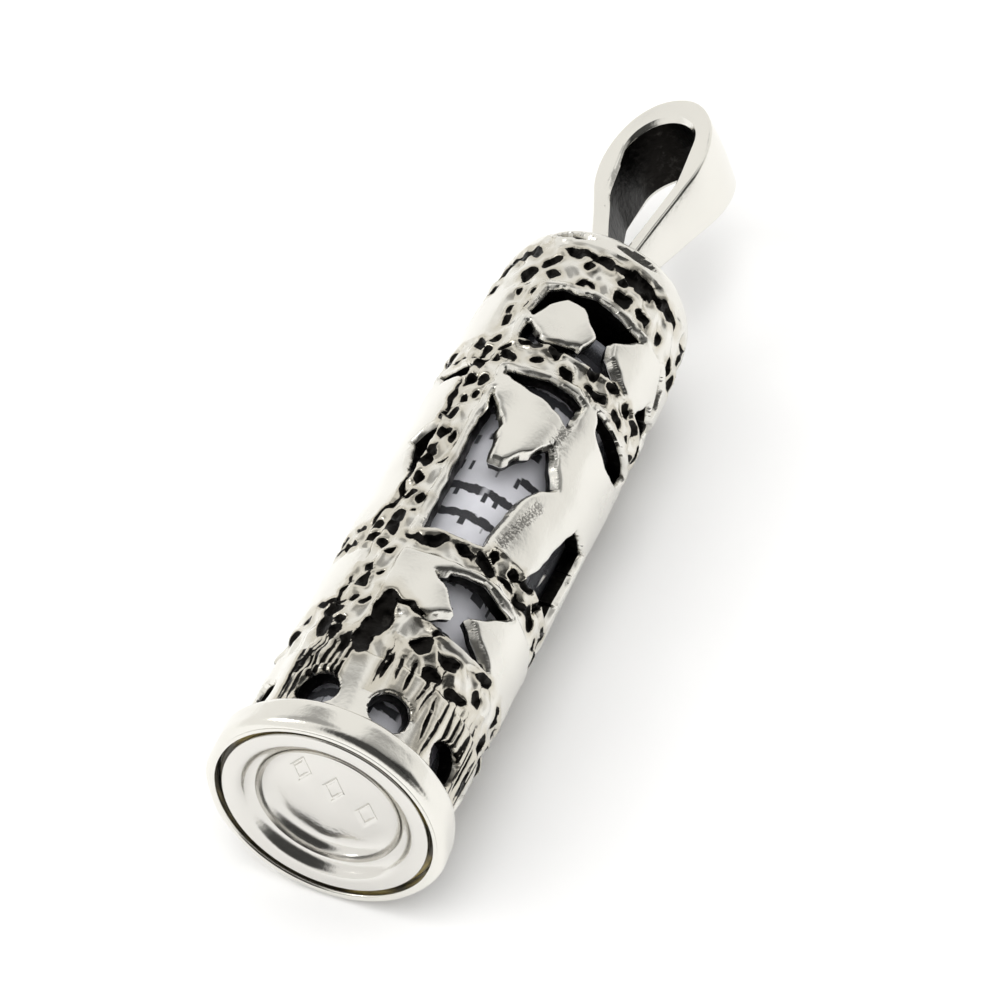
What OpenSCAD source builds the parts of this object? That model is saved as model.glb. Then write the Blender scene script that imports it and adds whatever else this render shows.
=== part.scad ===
// Pendant mezuzah case: an openwork silver sleeve with a domed crown and a bail,
// closed below by a push-in stopper, with a clear liner and a rolled parchment inside.
// +Z runs along the case with the bail on top. The origin is the centre of the base.
// The front, as worn, faces -Y, and a cord or chain runs through the bail along X.

/* [Case] */
// Outer radius of the sleeve
case_r = 4.5; // [4.4:0.05:4.6]
// Wall thickness of the sleeve and the crown
wall = 0.78; // [0.7:0.02:0.8]
// Height of the joint between the sleeve and the crown
crown_z = 26.8; // [26.6:0.1:27.0]
// Height of the flat seat on top of the crown
crown_top = 30.9; // [30.7:0.1:31.2]
// Radius of the flat seat on top of the crown
seat_r = 2.8; // [2.5:0.1:3.0]

/* [Base] */
// Outer radius of the base collar
collar_r = 5.06; // [5.0:0.01:5.2]
// Height of the base collar
collar_h = 1.55; // [1.5:0.01:1.6]
// Radius of the recess in the collar that takes the stopper's flange
recess_r = 4.56; // [4.5:0.01:4.6]
// Radius of the rounded edges of the collar
collar_round = 0.35; // [0.2:0.01:0.4]
// Radius of the round holes above the collar
hole_r = 0.9; // [0.7:0.05:0.95]
// Number of round holes above the collar
hole_count = 9; // [6:1:10]

/* [Stopper] */
// Outer radius of the stopper's flange
flange_r = 4.32; // [4.2:0.01:4.4]
// Radius of the dish at the flange
dish_r = 3.64; // [3.5:0.01:3.65]
// Radius of the flat disc in the middle of the dish
disc_r = 2.97; // [2.7:0.01:3.0]
// Depth of the dish
dish_d = 0.95; // [0.8:0.05:1.0]
// Radial clearance between the stopper's skirt and the bore of the sleeve
push_fit = 0.04; // [0.02:0.01:0.08]

/* [Bail] */
// Radius of the round part of the bail's loop
loop_r = 1.68; // [1.5:0.02:1.8]
// Height of the centre of the loop
loop_z = 39.4; // [39.2:0.1:39.6]
// Radius of the narrower round under the loop, which fills out the teardrop's sides
waist_r = 1.6; // [1.4:0.02:1.66]
// Height of the centre of the narrower round
waist_z = 37.2; // [36.8:0.1:37.6]
// Half the width of the bail across the loop, outside
bail_ry = 2.74; // [2.6:0.02:2.9]
// Half the height of the bail's round head, outside
bail_rz = 3.77; // [3.6:0.01:3.9]
// Width of the bail along the hole at its foot
bail_w_foot = 1.1; // [1.0:0.1:1.4]
// Width of the bail along the hole at its top
bail_w_top = 3.65; // [3.2:0.05:3.8]

/* [Contents] */
// Outer radius of the clear liner tube
liner_r = 3.55; // [3.5:0.01:3.58]
// Wall thickness of the liner tube
liner_wall = 0.3; // [0.25:0.01:0.32]
// Height of the liner's top end
liner_top = 25.5; // [25.0:0.1:25.7]
// Outer radius of the rolled parchment
scroll_r = 3.12; // [3.0:0.01:3.15]
// Thickness of the parchment
parchment_t = 0.16; // [0.12:0.01:0.2]
// Number of turns in the roll
scroll_turns = 3.5; // [2.5:0.5:4]

/* [Hidden] */
$fn = 96;

over = 1;               // how far a cutting shape runs past the metal
bore_r = case_r - wall;
sleeve_z = 0.65;        // lower end of the sleeve, inside the collar
hole_z = 2.6;           // centres of the round holes
first_hole = -133.2;    // azimuth of one round hole
dome_start = 19.4;      // height at which the crown's superellipse would begin
dome_power = 5.2;
dome_steps = 14;        // stretches of the dome's outer profile
bore_steps = 12;        // stretches of its inner profile
round_steps = 6;        // stretches of a quarter round
cut_r = 2;              // openings are cut from this radius outwards
flange_z = 0.05;        // the stopper sits this far inside the collar's rim
flange_t = 0.33;
skirt_r = bore_r - push_fit;
skirt_top = 1.7;
sheet_t = 0.32;         // metal thickness of the stopper
step_round = 0.3;       // radius of the two quarter rounds in the dish
ledge_z = flange_z + 0.5 * dish_d;
liner_z = skirt_top + 0.2;
scroll_z = skirt_top + 0.4;
scroll_top = liner_top - 0.6;
scroll_pitch = 0.36;    // spacing of the turns of the roll
spiral_steps = 20;      // stretches of one turn
ring_z = 0.4;
ring_r = bore_r + 0.08; // inner radius of the sealing ring
bail_cz = crown_top + 7.78;  // centre of the bail's round head
head_steps = 36;
loop_tip = 31.93;       // where the loop closes to a point
foot_half = 0.5;        // half the bail's thickness at the foot
slot_len = 1.8;         // the leaf-shaped slots on the crown, beside the bail's foot
slot_w = 0.45;
slot_r = 0.9 * case_r;
slot_z = crown_top - 0.6;
slot_tilt = 50;
slot_cut = 3;

// The openings of one side, each as [middle azimuth, [[azimuth, height], ...]].
// Azimuths are degrees from the pitted column at -X, round the front to +X.
// The other side repeats them half a turn on.
PANEL = [
    // crown window, with a five-sided leaf that reaches in from the column
    [46, [[11, 26.4], [73, 26.4], [59, 25.05], [80, 23.5], [36, 23.15], [11, 23.15],
          [10, 24.3], [22, 23.5], [44, 23.7], [50, 24.7], [37, 25.8], [26.6, 26.0],
          [12, 24.8], [9, 24.9]]],
    // long slot under the upper band
    [38, [[13, 21.2], [54, 21.35], [62, 21.0], [59, 20.0], [15, 20.9]]],
    // main window, with the leaf's tip above and a star-like notch on the right
    [42, [[14, 20.0], [28, 17.95], [29, 16.3], [42, 16.9], [56, 18.4], [70, 16.85],
          [58, 15.8], [51, 13.8], [49, 12.0], [15, 11.75]]],
    // half lens under the upper band
    [94, [[69, 21.5], [119, 21.5], [112, 20.55], [92, 20.0], [77, 20.55]]],
    // tall window with slanted sides
    [99, [[96, 16.55], [119, 16.7], [114, 12.2], [79, 12.4], [87, 13.8]]],
    // small triangle and slot beside the far column
    [165, [[158, 17.3], [171, 17.85], [172, 14.9]]],
    [159, [[145, 21.6], [172, 21.6], [172, 20.9], [160, 21.0]]],
    // base window between two petals
    [58, [[35, 9.75], [47, 10.1], [82, 10.2], [60, 8.7], [84, 7.5], [52, 7.25],
          [39, 7.6], [52, 8.4]]],
    // crescent and slanted slot near the crown
    [106, [[97, 26.3], [108, 26.3], [114, 25.3], [112, 24.9], [104, 25.6]]],
    [117, [[97, 23.7], [112, 23.9], [137, 25.6], [128, 24.2], [118, 23.45]]]
];

// Azimuths of the leaf-shaped slots on the crown
CROWN_SLOTS = [-171, -131, 9, 49];

function arc(cx, cy, r, a0, a1, n) =
    [for (i = [0:n]) let (a = a0 + (a1 - a0) * i / n) [cx + r * cos(a), cy + r * sin(a)]];

// Radius of a dome that is a superellipse from radius r to a flat top at height top
function dome_radius(z, r, flat, top) =
    flat + (r - flat) * pow(1 - pow((z - dome_start) / (top - dome_start), dome_power),
                            1 / dome_power);

// Profile of the dome from the joint to its flat top, with closer steps near the top
function dome_profile(r, flat, top, n) =
    [for (i = [0:n]) let (s = 1 - pow(1 - i / n, 2), z = crown_z + (top - crown_z) * s)
        [dome_radius(z, r, flat, top), z]];

// A prism that points outwards at azimuth mid and cuts one opening through the wall
module opening(mid, outline)
    rotate([0, 0, mid - 180]) rotate([90, 0, 90]) translate([0, 0, cut_r])
        linear_extrude(case_r)
            polygon([for (p = outline) [case_r * sin(p[0] - mid), p[1]]]);

module case_sleeve() color("silver") difference() {
    translate([0, 0, sleeve_z]) cylinder(r = case_r, h = crown_z - sleeve_z);
    translate([0, 0, sleeve_z - over]) cylinder(r = bore_r, h = crown_z - sleeve_z + 2 * over);
    for (side = [0, 180]) rotate([0, 0, side]) for (w = PANEL) opening(w[0], w[1]);
    for (i = [0:hole_count - 1])
        rotate([0, 0, first_hole + 360 / hole_count * i]) translate([cut_r, 0, hole_z])
            rotate([0, 90, 0]) cylinder(r = hole_r, h = case_r);
}

module slot_outline() {
    rho = (slot_len * slot_len + slot_w * slot_w) / (4 * slot_w);
    half = asin(slot_len / 2 / rho);
    polygon(concat(arc(slot_w / 2 - rho, 0, rho, -half, half, round_steps),
                   arc(rho - slot_w / 2, 0, rho, 180 - half, 180 + half, round_steps)));
}

module crown_cap() color("silver") difference() {
    rotate_extrude()
        polygon(concat([[0, crown_z]], dome_profile(case_r, seat_r, crown_top, dome_steps),
                       [[0, crown_top]]));
    translate([0, 0, -0.01]) rotate_extrude()
        polygon(concat([[0, crown_z]],
                       dome_profile(bore_r, seat_r - wall, crown_top - wall, bore_steps),
                       [[0, crown_top - wall]]));
    for (a = CROWN_SLOTS)
        rotate([0, 0, a]) translate([slot_r, 0, slot_z]) rotate([0, slot_tilt, 0])
            linear_extrude(slot_cut, center = true) slot_outline();
}

// The teardrop through the bail: the loop's bore, the waist under it, and flat sides
// that touch both and meet at the tip
module teardrop() {
    lean = acos(waist_r / (waist_z - loop_tip));
    slope = asin((loop_r - waist_r) / (loop_z - waist_z));
    long = 2 * bail_w_top;
    for (round = [[loop_r, loop_z], [waist_r, waist_z]])
        translate([0, 0, round[1]]) rotate([0, 90, 0]) cylinder(r = round[0], h = long, center = true);
    rotate([90, 0, 90]) linear_extrude(long, center = true) {
        polygon([[0, loop_tip], [waist_r * sin(lean), waist_z - waist_r * cos(lean)],
                 [-waist_r * sin(lean), waist_z - waist_r * cos(lean)]]);
        polygon([for (side = [1, -1], round = side > 0
                      ? [[waist_r, waist_z], [loop_r, loop_z]] : [[loop_r, loop_z], [waist_r, waist_z]])
                 [side * round[0] * cos(slope), round[1] - round[0] * sin(slope)]]);
    }
}

module bail() color("gainsboro") {
    a = foot_half / bail_ry;
    b = (crown_top - bail_cz) / bail_rz;
    touch = atan2(b, a) + acos(1 / sqrt(a * a + b * b));
    head = [for (i = [0:head_steps]) let (t = touch + (180 - 2 * touch) * i / head_steps)
                [bail_ry * cos(t), bail_cz + bail_rz * sin(t)]];
    top = bail_cz + bail_rz + 0.01;
    difference() {
        intersection() {
            rotate([90, 0, 90]) linear_extrude(2 * bail_w_top, center = true)
                polygon(concat(head, [[-foot_half, crown_top], [foot_half, crown_top]]));
            rotate([90, 0, 0]) linear_extrude(4 * bail_ry, center = true)
                polygon([[-bail_w_foot / 2, crown_top], [bail_w_foot / 2, crown_top],
                         [bail_w_top / 2, top], [-bail_w_top / 2, top]]);
        }
        teardrop();
    }
}

module base_collar() color("gainsboro") rotate_extrude()
    polygon(concat([[recess_r, 0]],
                   arc(collar_r - collar_round, collar_round, collar_round, -90, 0, round_steps),
                   arc(collar_r - collar_round, collar_h - collar_round, collar_round, 0, 90,
                       round_steps),
                   [[case_r, collar_h], [case_r, sleeve_z], [recess_r, sleeve_z]]));

// The dish goes up in two quarter rounds with a narrow ledge between them
module stopper() color("lightgray") rotate_extrude()
    polygon(concat(
        [[0, flange_z + dish_d], [disc_r, flange_z + dish_d]],
        arc(disc_r, ledge_z, step_round, 90, 0, round_steps),
        arc(dish_r - step_round, ledge_z - step_round, step_round, 90, 0, round_steps),
        [[dish_r, flange_z], [flange_r, flange_z], [flange_r, flange_z + flange_t],
         [skirt_r, flange_z + flange_t], [skirt_r, skirt_top], [skirt_r - sheet_t, skirt_top],
         [skirt_r - sheet_t, flange_z + dish_d + sheet_t], [0, flange_z + dish_d + sheet_t]]));

module sealing_ring() color("goldenrod") difference() {
    translate([0, 0, ring_z]) cylinder(r = case_r, h = sleeve_z - ring_z);
    translate([0, 0, ring_z - over]) cylinder(r = ring_r, h = 2 * over);
}

module liner_tube() color("lightcyan", 0.4) difference() {
    translate([0, 0, liner_z]) cylinder(r = liner_r, h = liner_top - liner_z);
    translate([0, 0, liner_z - over])
        cylinder(r = liner_r - liner_wall, h = liner_top - liner_z + 2 * over);
}

// Half the thickness either side of an Archimedean spiral that winds inwards
function spiral(side) = [for (i = [0:spiral_steps * scroll_turns]) let (
        turn = i / spiral_steps, r = scroll_r - parchment_t / 2 - scroll_pitch * turn + side)
    [r * cos(360 * turn), r * sin(360 * turn)]];
function reversed(v) = [for (i = [len(v) - 1:-1:0]) v[i]];

module parchment_scroll() color("ivory") translate([0, 0, scroll_z])
    linear_extrude(scroll_top - scroll_z)
        polygon(concat(spiral(parchment_t / 2), reversed(spiral(-parchment_t / 2))));

case_sleeve();
crown_cap();
bail();
base_collar();
stopper();
sealing_ring();
liner_tube();
parchment_scroll();
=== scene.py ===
"""A pendant mezuzah case: openwork silver sleeve and crown, bail, collar, stopper, liner and roll."""
import logging
import math
from dataclasses import dataclass, field
from enum import Enum
from typing import Sequence

import bpy
import numpy as np
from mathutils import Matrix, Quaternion, Vector


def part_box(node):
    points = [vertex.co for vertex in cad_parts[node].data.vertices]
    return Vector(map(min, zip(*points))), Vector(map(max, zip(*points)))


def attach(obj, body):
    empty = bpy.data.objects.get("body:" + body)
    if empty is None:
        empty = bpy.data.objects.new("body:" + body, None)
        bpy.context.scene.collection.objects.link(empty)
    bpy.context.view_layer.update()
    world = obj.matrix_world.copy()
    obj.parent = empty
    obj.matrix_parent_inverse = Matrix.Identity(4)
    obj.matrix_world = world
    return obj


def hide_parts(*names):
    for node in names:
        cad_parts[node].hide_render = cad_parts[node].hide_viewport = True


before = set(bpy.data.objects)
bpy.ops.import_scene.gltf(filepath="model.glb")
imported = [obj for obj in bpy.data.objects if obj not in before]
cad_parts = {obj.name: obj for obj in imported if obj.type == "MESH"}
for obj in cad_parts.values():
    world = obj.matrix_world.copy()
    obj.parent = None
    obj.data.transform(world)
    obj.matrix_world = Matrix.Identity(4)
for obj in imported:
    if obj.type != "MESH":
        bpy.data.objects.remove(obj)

LOG = logging.getLogger("mezuzah_case")
MM = 0.001
WELD = 1e-5
FAR = 9.0

Array = np.ndarray
Point = tuple[float, float]


class Slot(Enum):
    """The record's material slots."""

    OXIDISED = "oxidised_silver"
    BAIL = "bail_silver"
    COLLAR = "collar_silver"
    PRESSED = "pressed_silver"
    SEAL = "amber_seal"
    LINER = "clear_liner"
    PARCHMENT = "parchment"


class Body(Enum):
    """The rigid bodies that pieces ride on."""

    CASE = "case"
    STOPPER = "stopper"
    LINER = "liner"
    SCROLL = "scroll"


# ---------------------------------------------------------------- small numeric helpers


def ramp(value: Array, start: float, end: float) -> Array:
    """Smooth step from 0 at start to 1 at end, or down again where end is the smaller.

    Args:
        value: the values to grade.
        start: where the step leaves 0.
        end: where the step reaches 1.

    Returns:
        Three t squared minus two t cubed, with t the clipped share of the way.
    """
    t = np.clip((value - start) / (end - start), 0.0, 1.0)
    return t * t * (3.0 - 2.0 * t)


def soft_noise(points: Array, wavelength: float, seed: int, waves: int = 16) -> Array:
    """Smooth noise in space, a sum of sine waves that run in random directions.

    Args:
        points: positions in millimetres, shape (..., 3).
        wavelength: middle wavelength in millimetres.
        seed: seed of the random directions and phases.
        waves: how many waves are summed.

    Returns:
        Noise with a standard deviation of about 1.
    """
    rng = np.random.default_rng(seed)
    direction = rng.normal(size=(waves, 3))
    direction /= np.linalg.norm(direction, axis=1, keepdims=True)
    number = 2.0 * math.pi / (wavelength * rng.uniform(0.7, 1.4, (waves, 1)))
    phase = rng.uniform(0.0, 2.0 * math.pi, waves)
    total = np.zeros(points.shape[:-1])
    for vector, start in zip(direction * number, phase):
        total += np.sin(points @ vector + start)
    return total * math.sqrt(2.0 / waves)


def outline_distance(x: Array, y: Array, outline: Array) -> Array:
    """Signed distance to a closed outline, negative inside.

    Args:
        x: first coordinates of the points.
        y: second coordinates of the points.
        outline: the corners, shape (n, 2).

    Returns:
        The least distance to any side, with its sign from counting the crossed sides.
    """
    nearest = np.full(x.shape, np.inf)
    inside = np.zeros(x.shape, dtype=bool)
    for start, end in zip(outline, np.roll(outline, -1, axis=0)):
        along = end - start
        dx, dy = x - start[0], y - start[1]
        share = np.clip((dx * along[0] + dy * along[1]) / (along @ along), 0.0, 1.0)
        nearest = np.minimum(nearest, (dx - along[0] * share) ** 2 + (dy - along[1] * share) ** 2)
        spans = (start[1] > y) != (end[1] > y)
        slope = along[0] / along[1] if abs(along[1]) > 1e-9 else 0.0
        inside ^= spans & (dx < slope * dy)
    return np.where(inside, -1.0, 1.0) * np.sqrt(nearest)


def segment_distance(x: Array, y: Array, start: Point, end: Point) -> Array:
    """Distance from points to the straight segment between start and end.

    Args:
        x: first coordinates of the points.
        y: second coordinates of the points.
        start: one end of the segment.
        end: its other end.

    Returns:
        The distances, of the same shape as x.
    """
    along = np.subtract(end, start)
    dx, dy = x - start[0], y - start[1]
    share = np.clip((dx * along[0] + dy * along[1]) / (along @ along), 0.0, 1.0)
    return np.hypot(dx - along[0] * share, dy - along[1] * share)


# ---------------------------------------------------------------- meshes


@dataclass
class Surface:
    """A triangle mesh in millimetres, with values on its points.

    Attributes:
        points: positions, shape (n, 3).
        triangles: corner numbers, shape (m, 3).
        values: named values, one per point.
    """

    points: Array
    triangles: Array
    values: dict[str, Array] = field(default_factory=dict)

    def welded(self) -> "Surface":
        """Joins points at one place and drops the triangles that collapse.

        Returns:
            The joined surface.
        """
        keys = np.round(self.points / WELD).astype(np.int64)
        _, first, back = np.unique(keys, axis=0, return_index=True, return_inverse=True)
        tri = back.reshape(-1)[self.triangles]
        whole = (tri[:, 0] != tri[:, 1]) & (tri[:, 1] != tri[:, 2]) & (tri[:, 2] != tri[:, 0])
        return Surface(self.points[first], tri[whole], {k: v[first] for k, v in self.values.items()})

    def outward(self) -> "Surface":
        """Turns every triangle round if the signed volume is negative.

        Returns:
            The surface, with its triangles facing outwards.
        """
        a, b, c = (self.points[self.triangles[:, i]] for i in range(3))
        if np.einsum("ij,ij->i", a, np.cross(b, c)).sum() < 0.0:
            return Surface(self.points, self.triangles[:, ::-1], self.values)
        return self

    def piece(self, name: str, crease: float = 38.0) -> bpy.types.Object:
        """Puts the surface into a new mesh object at the origin.

        Args:
            name: the piece's name.
            crease: edges sharper than this many degrees are shaded sharp.

        Returns:
            The new object, linked to the scene.
        """
        done = self.welded().outward()
        mesh = bpy.data.meshes.new(name)
        mesh.vertices.add(len(done.points))
        mesh.vertices.foreach_set("co", (done.points * MM).astype(np.float32).ravel())
        count = len(done.triangles)
        mesh.loops.add(3 * count)
        mesh.loops.foreach_set("vertex_index", done.triangles.astype(np.int32).ravel())
        mesh.polygons.add(count)
        mesh.polygons.foreach_set("loop_start", np.arange(0, 3 * count, 3, dtype=np.int32))
        mesh.polygons.foreach_set("use_smooth", np.ones(count, dtype=bool))
        for key, value in done.values.items():
            layer = mesh.attributes.new(key, "FLOAT", "POINT")
            layer.data.foreach_set("value", value.astype(np.float32))
        mesh.update(calc_edges=True)
        mesh.validate()
        mesh.set_sharp_from_angle(angle=math.radians(crease))
        obj = bpy.data.objects.new(name, mesh)
        bpy.context.scene.collection.objects.link(obj)
        return obj


def grid_triangles(rows: int, columns: int, wrap_rows: bool, wrap_columns: bool) -> Array:
    """Two triangles for each cell of a grid of points numbered row by row.

    Args:
        rows: number of rows of points.
        columns: number of points in a row.
        wrap_rows: whether the last row meets the first.
        wrap_columns: whether the last column meets the first.

    Returns:
        Corner numbers, shape (m, 3): the first triangle of every cell, then the second.
    """
    r = np.arange(rows if wrap_rows else rows - 1)
    c = np.arange(columns if wrap_columns else columns - 1)
    r0, c0 = (m.ravel() for m in np.meshgrid(r, c, indexing="ij"))
    r1, c1 = (r0 + 1) % rows, (c0 + 1) % columns
    a, b = r0 * columns + c0, r0 * columns + c1
    d, e = r1 * columns + c0, r1 * columns + c1
    return np.concatenate([np.stack([a, b, e], 1), np.stack([a, e, d], 1)])


def grid_surface(points: Array, wrap_rows: bool, wrap_columns: bool, **values: Array) -> Surface:
    """A surface from a grid of points, shape (rows, columns, 3), and values of the same grid.

    Args:
        points: the grid's points in millimetres.
        wrap_rows: whether the last row meets the first.
        wrap_columns: whether the last column meets the first.
        values: named values, one for each point.

    Returns:
        The surface.
    """
    rows, columns = points.shape[:2]
    return Surface(points.reshape(-1, 3), grid_triangles(rows, columns, wrap_rows, wrap_columns),
                   {k: v.reshape(-1) for k, v in values.items()})


def around(radius: Array, height: Array, angle: Array) -> Array:
    """Points on circles round the Z axis.

    Args:
        radius: radii in millimetres.
        height: heights in millimetres.
        angle: azimuths in degrees. The three are broadcast against each other.

    Returns:
        Points, with a last axis of x, y and z.
    """
    turn = np.radians(angle)
    return np.stack(np.broadcast_arrays(radius * np.cos(turn), radius * np.sin(turn), height), -1)


def rounded_profile(corners: Sequence[Point], rounds: Sequence[float], steps: int) -> Array:
    """A closed profile with each corner replaced by a smooth curve.

    Args:
        corners: the corners as (radius, height), in order.
        rounds: how far from each corner its curve begins.
        steps: points in each curve.

    Returns:
        Points, shape (n, 2): for each corner a quadratic curve from its one side to its other.
    """
    nodes = np.asarray(corners, dtype=float)
    before, after = np.roll(nodes, 1, axis=0), np.roll(nodes, -1, axis=0)
    t = np.linspace(0.0, 1.0, steps)[:, None]
    curves = []
    for corner, last, following, reach in zip(nodes, before, after, rounds):
        start = corner + (last - corner) / np.linalg.norm(last - corner) * reach
        end = corner + (following - corner) / np.linalg.norm(following - corner) * reach
        curves.append((1 - t) ** 2 * start + 2 * t * (1 - t) * corner + t ** 2 * end)
    return np.concatenate(curves)


def resampled(path: Array, count: int, closed: bool = False) -> Array:
    """Points at even spacing along a path of straight stretches.

    Args:
        path: the path's points, shape (n, k).
        count: number of points wanted.
        closed: whether the last point joins the first.

    Returns:
        The new points, shape (count, k).
    """
    line = np.concatenate([path, path[:1]]) if closed else path
    step = np.linalg.norm(np.diff(line, axis=0), axis=1)
    far = np.concatenate([[0.0], np.cumsum(step)])
    at = np.linspace(0.0, far[-1], count + 1)[:-1] if closed else np.linspace(0.0, far[-1], count)
    return np.stack([np.interp(at, far, line[:, k]) for k in range(line.shape[1])], axis=1)


# ---------------------------------------------------------------- materials


class Nodes:
    """A short way to write one material's node tree."""

    def __init__(self, name: str) -> None:
        """Starts an empty material that has a Principled shader and an output.

        Args:
            name: the material's name.
        """
        self.material = bpy.data.materials.new(name)
        self.material.use_nodes = True
        self.tree = self.material.node_tree
        self.tree.nodes.clear()
        self.shader = self.tree.nodes.new("ShaderNodeBsdfPrincipled")
        out = self.tree.nodes.new("ShaderNodeOutputMaterial")
        self.tree.links.new(self.shader.outputs[0], out.inputs["Surface"])

    def add(self, kind: str, inputs: dict | None = None,
            **settings: object) -> bpy.types.Node:
        """Adds a node.

        Args:
            kind: the node's type without its ShaderNode prefix.
            inputs: values or sockets by input name or number.
            settings: properties of the node.

        Returns:
            The new node.
        """
        node = self.tree.nodes.new("ShaderNode" + kind)
        for key, value in settings.items():
            setattr(node, key, value)
        for key, value in (inputs or {}).items():
            self.feed(node.inputs[key], value)
        return node

    def feed(self, socket: bpy.types.NodeSocket, value: object) -> None:
        """Links a socket, or sets its value.

        Args:
            socket: the input.
            value: another node's output, or a plain value.
        """
        if isinstance(value, bpy.types.NodeSocket):
            self.tree.links.new(value, socket)
        else:
            socket.default_value = value

    def math(self, operation: str, *values: object, clamp: bool = False) -> bpy.types.NodeSocket:
        """The result of a Math node.

        Args:
            operation: the node's operation.
            values: its values or sockets, in order.
            clamp: whether the result stays within 0 to 1.

        Returns:
            The node's output.
        """
        return self.add("Math", dict(enumerate(values)), operation=operation,
                        use_clamp=clamp).outputs[0]

    def value(self, name: str) -> bpy.types.NodeSocket:
        """A value stored on the mesh's points."""
        return self.add("Attribute", attribute_name=name).outputs["Fac"]

    def place(self) -> bpy.types.NodeSocket:
        """Object coordinates."""
        return self.add("TexCoord").outputs["Object"]

    def noise(self, scale: float, detail: float = 2.0, vector: object = None,
              rough: float = 0.5) -> bpy.types.NodeSocket:
        """Noise at so many features a metre, from 0 to 1.

        Args:
            scale: features a metre.
            detail: number of finer layers.
            vector: where the noise is read, or None for object coordinates.
            rough: share of each finer layer.

        Returns:
            The noise.
        """
        return self.add("TexNoise", {"Vector": vector or self.place(), "Scale": scale,
                                     "Detail": detail, "Roughness": rough}).outputs["Fac"]

    def grade(self, value: object, low: float, high: float, to_low: float = 0.0,
              to_high: float = 1.0) -> bpy.types.NodeSocket:
        """Smoothly maps a value from low..high to to_low..to_high.

        Args:
            value: the value or socket.
            low: the value that gives to_low.
            high: the value that gives to_high.
            to_low: the result at low.
            to_high: the result at high.

        Returns:
            The mapped value.
        """
        return self.add("MapRange", {"Value": value, "From Min": low, "From Max": high,
                                     "To Min": to_low, "To Max": to_high},
                        interpolation_type="SMOOTHSTEP").outputs["Result"]

    def blend(self, share: object, first: object, second: object) -> bpy.types.NodeSocket:
        """Mixes two colours.

        Args:
            share: share of the second colour.
            first: colour at a share of 0.
            second: colour at a share of 1.

        Returns:
            The mixed colour.
        """
        node = self.add("Mix", data_type="RGBA")
        self.feed(node.inputs["Factor"], share)
        self.feed(node.inputs[6], first)
        self.feed(node.inputs[7], second)
        return node.outputs[2]

    def bump(self, height: object, distance: float, strength: float = 1.0,
             after: object = None) -> bpy.types.NodeSocket:
        """A bumped normal.

        Args:
            height: the height from 0 to 1.
            distance: height of a full step in metres.
            strength: share of the bump that is used.
            after: a normal that this bump is added to, or None.

        Returns:
            The bumped normal.
        """
        inputs = {"Height": height, "Distance": distance, "Strength": strength}
        if after is not None:
            inputs["Normal"] = after
        return self.add("Bump", inputs).outputs[0]


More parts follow.
